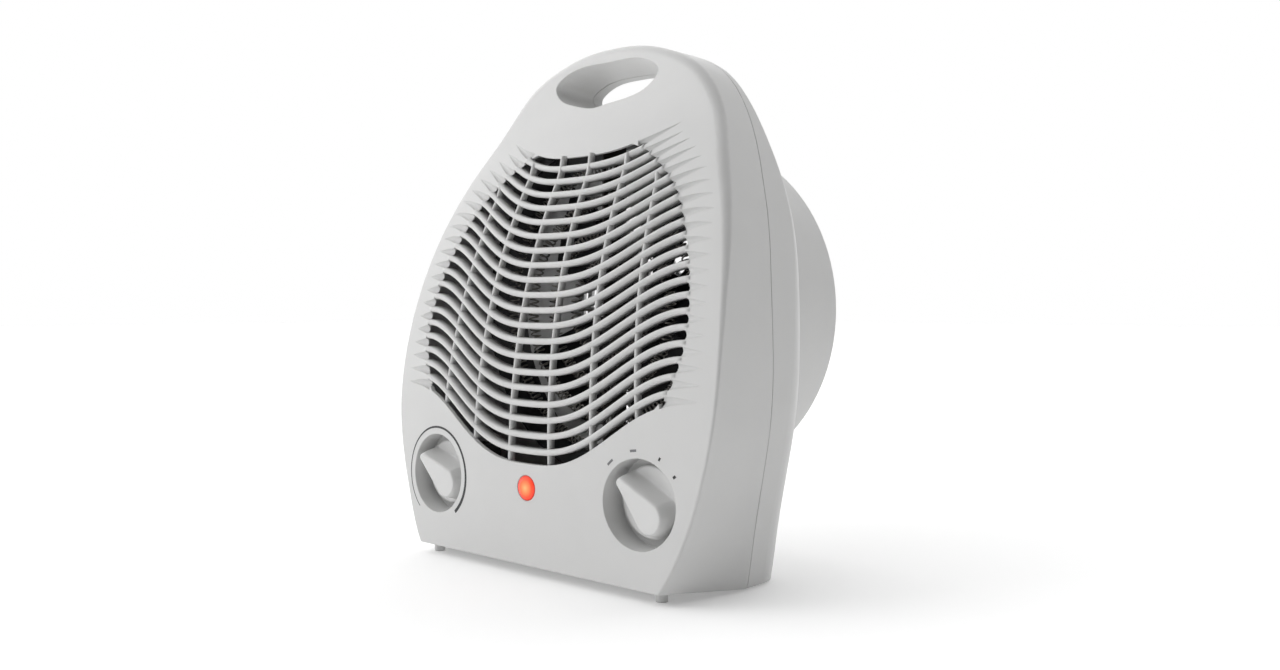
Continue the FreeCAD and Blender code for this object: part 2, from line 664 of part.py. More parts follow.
def tangent_outline(body, label, plane):
    """The grip seen from the front: two round ends joined by straight flanks, along +X."""
    tail_rad, tip_rad = number("grip_tail_rad"), number("grip_tip_rad")
    tail_x, tip_x = -number("grip_tail_set"), number("grip_tip_set")
    lean = math.acos((tail_rad - tip_rad) / (tip_x - tail_x))
    sketch = body.newObject("Sketcher::SketchObject", label)
    sketch.AttachmentSupport = (plane, [""])
    sketch.MapMode = "FlatFace"
    up, across = math.sin(lean), math.cos(lean)
    tail_touch = [Vector(tail_x + tail_rad * across, sign * tail_rad * up, 0) for sign in (1, -1)]
    tip_touch = [Vector(tip_x + tip_rad * across, sign * tip_rad * up, 0) for sign in (1, -1)]
    tail_circle = Part.Circle(Vector(tail_x, 0, 0), Vector(0, 0, 1), tail_rad)
    tip_circle = Part.Circle(Vector(tip_x, 0, 0), Vector(0, 0, 1), tip_rad)
    sketch.addGeometry(Part.ArcOfCircle(tail_circle, lean, 2 * math.pi - lean))
    sketch.addGeometry(Part.LineSegment(tail_touch[1], tip_touch[1]))
    sketch.addGeometry(Part.ArcOfCircle(tip_circle, -lean, lean))
    sketch.addGeometry(Part.LineSegment(tip_touch[0], tail_touch[0]))
    for first, first_end, second, second_end in ((0, 2, 1, 1), (1, 2, 2, 1), (2, 2, 3, 1),
                                                 (3, 2, 0, 1)):
        sketch.addConstraint(Sketcher.Constraint("Tangent", first, first_end, second, second_end))
    for arc, radius, centre in ((0, "grip_tail_rad", -1), (2, "grip_tip_rad", 1)):
        size = sketch.addConstraint(Sketcher.Constraint("Radius", arc, number(radius)))
        sketch.setExpression("Constraints[%d]" % size, linked(radius))
        sketch.addConstraint(Sketcher.Constraint("DistanceY", -1, 1, arc, 3, 0))
        reach = ("grip_tail_set", "grip_tip_set")[centre > 0]
        value = centre * number(reach)
        side = sketch.addConstraint(Sketcher.Constraint("DistanceX", -1, 1, arc, 3, value))
        sketch.setExpression("Constraints[%d]" % side, linked("%d * %s" % (centre, reach)))
    return sketch


def knob(label, side, angle):
    """Skirt disc with a tapered finger grip and a blind bore for the shaft."""
    body = doc.addObject("PartDesign::Body", label)
    skirt_profile = polygon_sketch(body, label + "_skirt_profile", "XY_Plane", [
        ("0", "skirt_front"), ("skirt_rad - 1", "skirt_front"), ("skirt_rad", "skirt_front + 1"),
        ("skirt_rad", "skirt_back"), ("shaft_rad + 0.02", "skirt_back"),
        ("shaft_rad + 0.02", "skirt_front + 0.4"), ("0", "skirt_front + 0.4")])
    skirt = body.newObject("PartDesign::Revolution", label + "_skirt")
    skirt.Profile = skirt_profile
    skirt.ReferenceAxis = (skirt_profile, ["V_Axis"])
    skirt.Angle = 360
    plane = origin_plane(body, "XZ_Plane")
    outline = tangent_outline(body, label + "_grip_outline", plane)
    grip = body.newObject("PartDesign::Pad", label + "_grip")
    grip.Profile = outline
    grip.SideType = "Two sides"
    bind(grip, Length="-grip_front", Length2="skirt_front + 0.2")
    doc.recompute()
    front_edges = ["Edge%d" % index for index, edge in enumerate(grip.Shape.Edges, start=1)
                   if abs(edge.BoundBox.YMin - number("grip_front")) < 0.01
                   and abs(edge.BoundBox.YMax - number("grip_front")) < 0.01]
    rounded = body.newObject("PartDesign::Fillet", label + "_round")
    rounded.Base = (grip, front_edges)
    rounded.Radius = number("grip_round")
    rounded.setExpression("Radius", linked("grip_round"))
    turn = FreeCAD.Rotation(Vector(0, -1, 0), number(angle))
    return place(body, side, "0", "knob_height", turn)


def control(label, side):
    """Body of a thermostat or switch with a bush that comes through the dish floor."""
    case = block(label + "_case", "control_size", "control_depth", "control_size", side,
                 "control_front", "knob_height")
    bush = cylinder(label + "_bush", "bush_rad", "control_front - dish_floor + 0.6", side,
                    "dish_floor - 0.1", "knob_height")
    bore = cylinder(label + "_bore", "shaft_bore", "14", side, "dish_floor - 1", "knob_height")
    return cut(label, fuse(label + "_blank", [case, bush]), bore)


moving = []
for name, side in KNOB_SIDES:
    moving.append(knob(name + "_knob", side, name + "_angle"))
    moving.append(cylinder(name + "_shaft", "shaft_rad", "control_front - skirt_front + 5", side,
                           "skirt_front + 0.4", "knob_height"))
thermostat_body = control("thermostat_body", "-knob_side")
selector_switch = control("selector_switch", "knob_side")


# ---------------------------------------------------------------- pilot lamp

pilot_lens = lathe("pilot_lens", [
    ("0", "0"), ("lens_rad - 2", "0.15"), ("lens_rad", "0.9"), ("lens_rad", "3.3"),
    ("lens_flange", "3.3"), ("lens_flange", "5"), ("4", "5"), ("4", "2.4"), ("0", "2.4")],
    "0", "lens_front", "lamp_height")
pilot_lamp = lathe("pilot_lamp", [("0", "0"), ("2", "0.8"), ("2.9", "2.6"), ("2.9", "12"),
                                  ("0", "12")], "0", "3.2", "lamp_height")
lamp_holder = tube("lamp_holder", "lens_flange", "3", "11", "0", "4.3", "lamp_height")


# ---------------------------------------------------------------- heater

def around_fan_axis(radius, degrees):
    """Expressions of the point at a radius and angle around the fan axis."""
    angle = math.radians(degrees)
    side = "(%s) * %.6f" % (radius, math.cos(angle))
    rise = "barrel_height + (%s) * %.6f" % (radius, math.sin(angle))
    return side, rise


LUG_ANGLES = [35, 145, 215, 325]
COIL_RINGS = 4

frame_ring = tube("frame_ring", "element_rad", "element_rad - element_wall",
                  "element_back - element_front", "0", "element_front", "barrel_height")
lugs = []
lug_holes = []
lug_screws = []
for index, degrees in enumerate(LUG_ANGLES):
    side, rise = around_fan_axis("lug_set", degrees)
    lugs.append(cylinder("lug_%d" % index, "7.4", "1.6", side, "element_back - 1.6", rise))
    lug_holes.append(cylinder("lug_hole_%d" % index, "1.7", "4", side, "element_back - 3", rise))
    lug_screws.append(screw("element_screw_%d" % index, side, "element_back - 1.6", rise,
                            "2.8", "1.8", "1.4", "1.6", ALONG_Y))
frame_bore = cylinder("frame_bore", "element_rad - element_wall", "element_back", "0",
                      "element_front - 1", "barrel_height")
element_frame = cut("element_frame", fuse("element_frame_blank", [frame_ring] + lugs),
                    fuse("element_frame_holes", lug_holes + [frame_bore]))
element_screws = group("element_screws", lug_screws)

coils = []
coil_paths = []
for ring in range(COIL_RINGS):
    radius = "coil_first + coil_pitch * %d" % ring
    for made, thickness, kind in ((coils, "coil_rad", "coil"),
                                  (coil_paths, "coil_rad + 0.5", "path")):
        torus = bind(doc.addObject("Part::Torus", "%s_%d" % (kind, ring)), Radius1=radius,
                     Radius2=thickness)
        made.append(place(torus, "0", "coil_depth", "barrel_height", ALONG_Y))
heating_coils = group("heating_coils", coils)

board_length = "2 * (element_rad - element_wall) - 1"
notch = "mica_thick + 0.2"
upright_blank = block("upright_blank", "mica_thick", "mica_depth", board_length, "0",
                      "mica_front", "barrel_height")
upright_notch = block("upright_notch", notch, "mica_depth / 2 + 0.2", notch, "0",
                      "mica_front - 0.1", "barrel_height")
cross_blank = block("cross_blank", board_length, "mica_depth", "mica_thick", "0",
                    "mica_front", "barrel_height")
cross_notch = block("cross_notch", notch, "mica_depth / 2 + 0.2", notch, "0",
                    "mica_front + mica_depth / 2", "barrel_height")
upright_mica = cut("mica_board_upright", upright_blank,
                   fuse("upright_cuts", [upright_notch] + coil_paths))
cross_mica = cut("mica_board_cross", cross_blank,
                 fuse("cross_cuts", [cross_notch] + coil_paths))

thermal_cutout = fuse("thermal_cutout", [
    block("cutout_case", "9", "7", "12", "5.2", "58.5", "barrel_height + 12"),
    block("cutout_strip", "1", "3", "18", "3", "60", "barrel_height + 12")])
thermal_fuse = cylinder("thermal_fuse", "1.7", "11", "-2.4", "58", "barrel_height - 10")


# ---------------------------------------------------------------- fan and motor

BLADE_SECTIONS = [(13, 21, 42), (46, 43, 27), (82, 57, 18.5)]
BLADE_THICK = 1.3
BLADE_CAMBER = 3


def blade_section(radius, chord, pitch_degrees):
    """A thin cambered section at a radius, pitched about the radial line."""
    pitch = math.radians(pitch_degrees)

    def point(along_chord, lift):
        across = along_chord * math.cos(pitch) - lift * math.sin(pitch)
        deep = along_chord * math.sin(pitch) + lift * math.cos(pitch)
        return Vector(radius, deep, across)

    half = chord / 2
    lower = Part.Arc(point(-half, 0), point(0, BLADE_CAMBER), point(half, 0))
    upper = Part.Arc(point(half, BLADE_THICK), point(0, BLADE_CAMBER + BLADE_THICK),
                     point(-half, BLADE_THICK))
    edges = [lower.toShape(), Part.makeLine(point(half, 0), point(half, BLADE_THICK)),
             upper.toShape(), Part.makeLine(point(-half, BLADE_THICK), point(-half, 0))]
    return Part.Wire(edges)


def fan_blades():
    blade = Part.makeLoft([blade_section(*section) for section in BLADE_SECTIONS], True)
    inner = number("fan_hub_rad - 1")
    tip = Part.makeCylinder(number("fan_rad"), CLEAR, Vector(0, -CLEAR / 2, 0), Vector(0, 1, 0))
    core = Part.makeCylinder(inner, CLEAR, Vector(0, -CLEAR / 2, 0), Vector(0, 1, 0))
    blade = blade.common(tip).cut(core).Solids[0]
    blade.translate(Vector(0, number("fan_front + fan_hub_depth / 2") - BLADE_CAMBER,
                           number("barrel_height")))
    axis_point = Vector(0, 0, number("barrel_height"))
    blades = []
    for index in range(int(number("fan_blades"))):
        copy = blade.copy()
        copy.rotate(axis_point, Vector(0, 1, 0), index * 360 / number("fan_blades"))
        blades.append(solid("fan_blade_%d" % index, copy))
    return blades


fan_hub = lathe("fan_hub", [
    ("motor_shaft_rad", "0"), ("fan_hub_rad - 3", "0"), ("fan_hub_rad", "3"),
    ("fan_hub_rad", "fan_hub_depth"), ("fan_hub_rad - 1.6", "fan_hub_depth"),
    ("fan_hub_rad - 1.6", "3.5"), ("4", "3.5"), ("4", "fan_hub_depth - 2"),
    ("motor_shaft_rad", "fan_hub_depth - 2")], "0", "fan_front", "barrel_height")
fan = fuse("fan", [fan_hub] + fan_blades())
fan.Refine = False
fan_clip = tube("fan_clip", "3.4", "motor_shaft_rad", "1.6", "0", "fan_front - 1.6",
                "barrel_height")
motor_shaft = cylinder("motor_shaft", "motor_shaft_rad", "44", "0", "fan_front - 3",
                       "barrel_height")
armature = tube("motor_armature", "11", "motor_shaft_rad", "8.5", "0", "motor_front + 4.5",
                "barrel_height")
commutator = tube("motor_commutator", "3.6", "motor_shaft_rad", "3.5", "0", "motor_front + 13.7",
                  "barrel_height")
moving += [fan, fan_clip, motor_shaft, armature, commutator]

motor_can = lathe("motor_can", [
    ("2", "0"), ("motor_rad - 1.2", "0"), ("motor_rad", "1.2"), ("motor_rad", "motor_length"),
    ("motor_rad - 1", "motor_length"), ("motor_rad - 1", "1.6"), ("4.4", "1.6"),
    ("4.4", "3.4"), ("2", "3.4")], "0", "motor_front", "barrel_height")
motor_end_cap = lathe("motor_end_cap", [
    ("0", "0"), ("4", "0"), ("4", "-2.6"), ("motor_rad - 1", "-2.6"), ("motor_rad - 1", "-4.4"),
    ("2", "-4.4"), ("2", "-1.4"), ("0", "-1.4")], "0", "motor_front + motor_length + 2.6",
    "barrel_height")
magnet_ring = tube("magnet_ring", "motor_rad - 1", "12", "12", "0", "motor_front + 3.6",
                   "barrel_height")
magnet_gap = block("magnet_gap", "6", "20", "2 * motor_rad", "0", "motor_front", "barrel_height")
motor_magnets = cut("motor_magnets", magnet_ring, magnet_gap)

mount_hub = cylinder("mount_hub", "motor_rad + 3", "mount_thick", "0", "mount_front",
                     "barrel_height")
mount_arms = []
arm_screws = []
arm_holes = [cylinder("mount_hub_hole", "5.5", "10", "0", "mount_front - 2", "barrel_height")]
for index in range(4):
    degrees = 45 + 90 * index
    side, rise = around_fan_axis("mount_post_set", degrees)
    arm = bind(doc.addObject("Part::Box", "mount_arm_%d" % index), Length="mount_post_set",
               Width="mount_thick", Height="9")
    turn = FreeCAD.Rotation(Vector(0, -1, 0), degrees)
    offset = turn.multVec(Vector(0, 0, -4.5))
    place(arm, "%.6f" % offset.x, "mount_front", "barrel_height + %.6f" % offset.z, turn)
    mount_arms += [arm, cylinder("mount_eye_%d" % index, "4", "mount_thick", side, "mount_front",
                                 rise)]
    arm_holes.append(cylinder("mount_eye_hole_%d" % index, "1.8", "10", side, "mount_front - 2",
                              rise))
    arm_screws.append(screw("mount_screw_%d" % index, side, "mount_front", rise, "3", "1.8",
                            "1.3", "9", ALONG_Y))
motor_screw_items = []
for index, degrees in enumerate((0, 180)):
    side, rise = around_fan_axis("9", degrees)
    arm_holes.append(cylinder("motor_screw_hole_%d" % index, "1.6", "10", side,
                              "mount_front - 2", rise))
    motor_screw_items.append(screw("motor_screw_%d" % index, side, "mount_front", rise, "2.4",
                                   "1.2", "1.3", "mount_thick", ALONG_Y))
motor_mount = cut("motor_mount", fuse("mount_blank", [mount_hub] + mount_arms),
                  fuse("mount_cuts", arm_holes))
mount_screws = group("mount_screws", arm_screws)
motor_screws = group("motor_screws", motor_screw_items)


# ---------------------------------------------------------------- rear grille

GRILLE_RINGS = 11
GRILLE_SPOKES = 12


def rear_grille_shape():
    """Concentric rings on spokes, with a closed disc over the motor."""
    front, thick = number("rear_grille_front"), number("rear_grille_thick")
    centre = Vector(0, front, number("barrel_height"))
    back = Vector(0, 1, 0)
    outer = number("barrel_rad - barrel_wall") - 0.1
    inner = number("motor_rad") - 2
    ring_step = (outer - inner) / GRILLE_RINGS
    pieces = [Part.makeCylinder(inner, thick, centre, back)]
    for ring in range(1, GRILLE_RINGS + 1):
        radius = inner + ring * ring_step
        width = 3.2 if ring == GRILLE_RINGS else 3
        annulus = Part.makeCylinder(radius, thick, centre, back)
        pieces.append(annulus.cut(Part.makeCylinder(radius - width, thick, centre, back)))
    for spoke in range(GRILLE_SPOKES):
        bar = Part.makeBox(outer - inner + 1, thick - 0.6, 2,
                           Vector(inner - 1, front + 0.3, centre.z - 1))
        bar.rotate(centre, back, spoke * 360 / GRILLE_SPOKES)
        pieces.append(bar)
    return pieces[0].fuse(pieces[1:])


rear_grille = solid("rear_grille", rear_grille_shape())


# ---------------------------------------------------------------- cord inlet and wiring

cord_gland = lathe("cord_gland", [
    ("cord_bore", "0"), ("gland_flange", "0"), ("gland_flange", "1.6"), ("gland_rad", "1.6"),
    ("gland_rad", "4.1"), ("gland_flange", "4.1"), ("gland_flange - 1", "6.2"),
    ("cord_bore", "6.2")], "0", "back_plane - wall - 1.7", "cord_height")
clamp_block = block("clamp_block", "26", "8", "13", "0", "52", "cord_height")
clamp_bore = cylinder("clamp_bore", "cord_bore", "20", "0", "46", "cord_height")
clamp_holes = [cylinder("clamp_hole_%d" % index, "1.7", "30", side, "56", "cord_height - 15",
                        UPRIGHT) for index, side in enumerate(("-9", "9"))]
cord_clamp = cut("cord_clamp", clamp_block, fuse("clamp_cuts", [clamp_bore] + clamp_holes))
clamp_screws = group("clamp_screws", [
    fuse("clamp_screw_%d" % index, [
        cylinder("clamp_screw_%d_head" % index, "2.8", "1.8", side, "56", "cord_height + 6.5",
                 UPRIGHT),
        cylinder("clamp_screw_%d_shank" % index, "1.4", "14", side, "56", "cord_height - 7.5",
                 UPRIGHT)]) for index, side in enumerate(("-9", "9"))])
terminal_block = block("terminal_block", "34", "12", "11", "0", "28", "10.6")

doc.recompute()

KEPT = [front_cover, front_grille, rear_cover, rear_grille, front_feet, rear_feet, housing_screws,
        thermostat_body, selector_switch, pilot_lens, pilot_lamp, lamp_holder, element_frame,
        element_screws, heating_coils, upright_mica, cross_mica, thermal_cutout, thermal_fuse,
        motor_can, motor_end_cap, motor_magnets, motor_mount, mount_screws, motor_screws,
        cord_gland, cord_clamp, clamp_screws, terminal_block] + moving


# ---------------------------------------------------------------- checks and output

for item in doc.Objects:
    if "Invalid" in item.State or "Error" in item.State:
        raise RuntimeError("%s did not build: %s" % (item.Name, item.State))
for item in KEPT:
    if item.Shape.isNull() or not item.Shape.isValid():
        raise RuntimeError("%s has no valid shape" % item.Label)

os.makedirs("parts", exist_ok=True)
for item in KEPT:
    item.Shape.exportStep("parts/%s.step" % item.Label)
    box = item.Shape.optimalBoundingBox(False, False)
    print("%-20s %2d solids %8.1f mm3  y %6.1f to %6.1f  z %6.1f to %6.1f" % (
        item.Label, len(item.Shape.Solids), item.Shape.Volume, box.YMin, box.YMax, box.ZMin,
        box.ZMax))
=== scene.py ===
import math

import bmesh
import bpy
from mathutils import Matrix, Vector
from mathutils.bvhtree import BVHTree


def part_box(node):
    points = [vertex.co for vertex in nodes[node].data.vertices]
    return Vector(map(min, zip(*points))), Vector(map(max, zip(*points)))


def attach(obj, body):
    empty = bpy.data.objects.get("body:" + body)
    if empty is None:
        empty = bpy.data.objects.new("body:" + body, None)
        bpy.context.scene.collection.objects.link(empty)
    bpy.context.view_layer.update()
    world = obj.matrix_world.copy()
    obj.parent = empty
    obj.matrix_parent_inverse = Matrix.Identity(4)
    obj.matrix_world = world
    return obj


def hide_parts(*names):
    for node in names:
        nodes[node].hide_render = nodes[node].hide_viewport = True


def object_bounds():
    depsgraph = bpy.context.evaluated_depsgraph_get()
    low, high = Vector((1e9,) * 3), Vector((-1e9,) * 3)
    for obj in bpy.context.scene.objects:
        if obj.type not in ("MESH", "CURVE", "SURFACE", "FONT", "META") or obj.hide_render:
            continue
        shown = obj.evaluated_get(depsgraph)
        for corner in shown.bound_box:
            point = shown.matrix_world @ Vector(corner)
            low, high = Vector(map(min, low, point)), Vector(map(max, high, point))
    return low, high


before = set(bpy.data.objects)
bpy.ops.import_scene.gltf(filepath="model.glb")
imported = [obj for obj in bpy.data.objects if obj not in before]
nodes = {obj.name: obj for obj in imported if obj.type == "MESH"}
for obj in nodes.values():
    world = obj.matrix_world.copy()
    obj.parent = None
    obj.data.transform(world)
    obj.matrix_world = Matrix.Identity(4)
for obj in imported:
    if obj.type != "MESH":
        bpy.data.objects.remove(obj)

# Looks of the upright fan heater. Metres, in the CAD frame: +Z up and the front faces -Y.

cad_low, cad_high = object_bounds()
MM = 0.001


# ---------------------------------------------------------------- materials

class Graph:
    """A small helper around one material's node tree."""

    def __init__(self, name):
        self.material = bpy.data.materials.new(name)
        self.material.use_nodes = True
        self.nodes = self.material.node_tree.nodes
        self.links = self.material.node_tree.links
        self.shader = self.nodes["Principled BSDF"]
        self.place = self.nodes.new("ShaderNodeTexCoord").outputs["Object"]

    def link(self, source, target):
        self.links.new(source, target)

    def noise(self, scale, detail=3.0, roughness=0.55, vector=None):
        node = self.nodes.new("ShaderNodeTexNoise")
        node.inputs["Scale"].default_value = scale
        node.inputs["Detail"].default_value = detail
        node.inputs["Roughness"].default_value = roughness
        self.link(vector or self.place, node.inputs["Vector"])
        return node.outputs["Fac"]

    def stretched(self, scale):
        node = self.nodes.new("ShaderNodeMapping")
        node.inputs["Scale"].default_value = scale
        self.link(self.place, node.inputs["Vector"])
        return node.outputs["Vector"]

    def ramp(self, source, stops):
        node = self.nodes.new("ShaderNodeValToRGB")
        band = node.color_ramp
        while len(band.elements) < len(stops):
            band.elements.new(0.5)
        for element, (position, colour) in zip(band.elements, stops):
            element.position = position
            element.color = (*colour, 1)
        self.link(source, node.inputs["Fac"])
        return node.outputs["Color"]

    def span(self, source, low, high):
        node = self.nodes.new("ShaderNodeMapRange")
        node.inputs["To Min"].default_value = low
        node.inputs["To Max"].default_value = high
        self.link(source, node.inputs["Value"])
        return node.outputs["Result"]

    def bump(self, source, distance, strength=1.0, edge=0.0):
        node = self.nodes.new("ShaderNodeBump")
        node.inputs["Distance"].default_value = distance
        node.inputs["Strength"].default_value = strength
        self.link(source, node.inputs["Height"])
        if edge:
            soft = self.nodes.new("ShaderNodeBevel")
            soft.samples = 4
            soft.inputs["Radius"].default_value = edge
            self.link(soft.outputs["Normal"], node.inputs["Normal"])
        self.link(node.outputs["Normal"], self.shader.inputs["Normal"])

    def set(self, **values):
        for name, value in values.items():
            self.shader.inputs[name.replace("_", " ")].default_value = value


def shade(colour, share):
    return tuple(channel * share for channel in colour)


def moulded(name, colour, rough=0.42, grain=0.00002, edge=0.0, glow=0.0, gloss=0.45):
    """Moulded plastic: faint spark-eroded grain, soft mottling and uneven gloss."""
    graph = Graph(name)
    cloud = graph.noise(34, 4)
    tint = graph.ramp(cloud, [(0.3, shade(colour, 0.975)), (0.7, colour)])
    graph.link(tint, graph.shader.inputs["Base Color"])
    graph.link(graph.span(graph.noise(210, 2), rough - 0.05, rough + 0.07),
               graph.shader.inputs["Roughness"])
    graph.bump(graph.noise(2600, 2, 0.6), grain, 0.6, edge)
    graph.set(IOR=1.5, Specular_IOR_Level=gloss)
    if glow:
        graph.set(Subsurface_Weight=glow, Subsurface_Radius=(0.004, 0.004, 0.0035))
    return graph.material


def drawn_metal(name, colour, rough=0.32, along=(40, 40, 2600)):
    """Plated or drawn metal with fine lines along one direction and a little tarnish."""
    graph = Graph(name)
    lines = graph.noise(1.0, 3, 0.5, graph.stretched(along))
    stain = graph.noise(90, 5)
    tint = graph.ramp(stain, [(0.35, shade(colour, 0.72)), (0.65, colour)])
    graph.link(tint, graph.shader.inputs["Base Color"])
    graph.link(graph.span(lines, rough - 0.08, rough + 0.16), graph.shader.inputs["Roughness"])
    graph.bump(lines, 0.00003, 0.4)
    graph.set(Metallic=1.0)
    return graph.material


def painted_metal(name, colour, rough=0.5):
    """Dark heat-resistant paint with orange-peel and dusty patches."""
    graph = Graph(name)
    dust = graph.noise(60, 5)
    tint = graph.ramp(dust, [(0.42, colour), (0.75, tuple(c + 0.05 for c in colour))])
    graph.link(tint, graph.shader.inputs["Base Color"])
    graph.link(graph.span(dust, rough, rough + 0.2), graph.shader.inputs["Roughness"])
    graph.bump(graph.noise(900, 2), 0.00005, 0.5)
    return graph.material


def shade_darkened_mica(name):
    """Pressed mica board: very dark warm grey-brown flakes with a pearly lustre; the board is kept far
    darker than mica as painted shade for the dark inside of the heater.
    """
    graph = Graph(name)
    flakes = graph.nodes.new("ShaderNodeTexVoronoi")
    flakes.inputs["Scale"].default_value = 420
    graph.link(graph.place, flakes.inputs["Vector"])
    # Near-black flake colours: painted shade standing in for the dark inside of the housing, not the
    # board's own tone.
    tint = graph.ramp(flakes.outputs["Color"], [(0.1, (0.03, 0.025, 0.02)), (0.9, (0.07, 0.06, 0.045))])
    graph.link(tint, graph.shader.inputs["Base Color"])
    graph.link(graph.span(flakes.outputs["Distance"], 0.35, 0.6), graph.shader.inputs["Roughness"])
    graph.bump(flakes.outputs["Distance"], 0.00008, 0.5)
    graph.set(Sheen_Weight=0.2)
    return graph.material


def lit_lens(name, centre, radius):
    """Translucent lens with a glowing core and a darker rim, by distance from its axis."""
    graph = Graph(name)
    offset = graph.nodes.new("ShaderNodeVectorMath")
    offset.operation = "DISTANCE"
    flat = graph.nodes.new("ShaderNodeMapping")
    flat.inputs["Scale"].default_value = (1, 0, 1)
    graph.link(graph.place, flat.inputs["Vector"])
    graph.link(flat.outputs["Vector"], offset.inputs[0])
    offset.inputs[1].default_value = (centre.x, 0, centre.z)
    share = graph.nodes.new("ShaderNodeMapRange")
    share.inputs["From Max"].default_value = radius
    graph.link(offset.outputs["Value"], share.inputs["Value"])
    glow = graph.ramp(share.outputs["Result"], [
        (0.0, (1.0, 0.30, 0.12)), (0.34, (1.0, 0.17, 0.05)), (0.66, (1.0, 0.07, 0.02)),
        (0.86, (0.62, 0.03, 0.008)), (1.0, (0.30, 0.015, 0.005))])
    graph.link(glow, graph.shader.inputs["Base Color"])
    graph.link(glow, graph.shader.inputs["Emission Color"])
    graph.bump(graph.noise(700, 1), 0.00004, 0.3)
    graph.set(Emission_Strength=0.85, Roughness=0.16, IOR=1.49)
    return graph.material


def printed(name, colour):
    """Pad-printed ink: slightly raised, with a thin uneven edge of coverage."""
    graph = Graph(name)
    cover = graph.noise(1500, 2)
    graph.link(graph.ramp(cover, [(0.25, tuple(c + 0.05 for c in colour)), (0.5, colour)]),
               graph.shader.inputs["Base Color"])
    graph.bump(cover, 0.00001, 0.4)
    graph.set(Roughness=0.42)
    return graph.material


SHELL = (0.66, 0.66, 0.655)
lens_low, lens_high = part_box("pilot_lens")
lens_centre = (lens_low + lens_high) / 2
LENS_RADIUS = 5.9 * MM

shell = moulded("shell_plastic", SHELL, 0.40, 0.00002, 0.0006, 0.06)
louvre_plastic = moulded("louvre_plastic", SHELL, 0.38, 0.00002, 0.0, 0.06)
knob_plastic = moulded("knob_plastic", (0.70, 0.70, 0.695), 0.33, 0.00001, 0.0, 0.06)
black_plastic = moulded("black_plastic", (0.02, 0.02, 0.022), 0.45, 0.00003)
fan_plastic = moulded("fan_plastic", (0.035, 0.035, 0.038), 0.38, 0.00002)
block_plastic = moulded("block_plastic", (0.70, 0.69, 0.64), 0.5, 0.00003)
rubber = moulded("grey_rubber", (0.50, 0.50, 0.49), 0.75, 0.00005, 0.0, 0.0, 0.3)
plated = drawn_metal("plated_steel", (0.55, 0.56, 0.58))
copper = drawn_metal("wound_copper", (0.70, 0.34, 0.18), 0.38, (900, 40, 900))
wire = drawn_metal("coil_wire", (0.42, 0.40, 0.37), 0.34, (1800, 1800, 1800))
# The element frame's near-black is partly its dark paint and partly painted shade for the dark inside
# of the heater seen through the louvre.
frame_paint_and_shade = painted_metal("dark_frame_and_painted_shade", (0.030, 0.030, 0.032))
ferrite = painted_metal("ferrite", (0.055, 0.055, 0.060), 0.65)
mica = shade_darkened_mica("mica_board")
lens = lit_lens("pilot_lens_glow", lens_centre, LENS_RADIUS)
lamp_glass = lit_lens("pilot_lamp_glow", lens_centre, 3 * MM)
ink = printed("printed_ink", (0.012, 0.012, 0.014))
grey_ink = printed("printed_grey_ink", (0.16, 0.16, 0.17))

FINISHES = {
    shell: ("front_cover", "rear_cover", "rear_grille", "front_feet", "lamp_holder",
            "cord_clamp"),
    louvre_plastic: ("front_grille",),
    knob_plastic: ("thermostat_knob", "selector_knob"),
    # The switch bodies, cutout, end cap and gland are black plastic; the motor mount gets this black as
    # painted shade, so the inside seen through the louvre stays dark.
    black_plastic: ("thermostat_body", "selector_switch", "thermal_cutout", "motor_end_cap",
                    "cord_gland", "motor_mount"),
    fan_plastic: ("fan",),
    block_plastic: ("terminal_block",),
    rubber: ("rear_feet",),
    plated: ("housing_screws", "element_screws", "thermal_fuse", "motor_can", "mount_screws",
             "motor_screws", "clamp_screws", "thermostat_shaft", "selector_shaft", "fan_clip",
             "motor_shaft"),
    copper: ("motor_armature", "motor_commutator"),
    wire: ("heating_coils",),
    frame_paint_and_shade: ("element_frame",),
    ferrite: ("motor_magnets",),
    mica: ("mica_board_upright", "mica_board_cross"),
    lens: ("pilot_lens",),
    lamp_glass: ("pilot_lamp",),
}
for material, names in FINISHES.items():
    for name in names:
        nodes[name].data.materials.clear()
        nodes[name].data.materials.append(material)


# ---------------------------------------------------------------- shared mesh code

def tree_of(*names):
    vertices, faces = [], []
    for name in names:
        mesh = nodes[name].data
        start = len(vertices)
        vertices += [vertex.co.copy() for vertex in mesh.vertices]
        faces += [[start + index for index in face.vertices] for face in mesh.polygons]
    return BVHTree.FromPolygons(vertices, faces)


FRONT_OF_ALL = cad_low.y - 0.05
BACKWARDS = Vector((0, 1, 0))


def depth_at(tree, x, z):
    """Y of the first surface seen from the front at x and z, or None."""
    hit = tree.ray_cast(Vector((x, FRONT_OF_ALL, z)), BACKWARDS)
    return hit[0].y if hit[0] else None


def piece(name, vertices, faces, material, body, smooth=True):
    mesh = bpy.data.meshes.new(name)
    mesh.from_pydata([tuple(vertex) for vertex in vertices], [], faces)
    work = bmesh.new()
    work.from_mesh(mesh)
    bmesh.ops.recalc_face_normals(work, faces=work.faces)
    work.to_mesh(mesh)
    work.free()
    mesh.shade_smooth() if smooth else mesh.shade_flat()
    item = bpy.data.objects.new(name, mesh)
    bpy.context.scene.collection.objects.link(item)
    mesh.materials.append(material)
    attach(item, body)
    return item


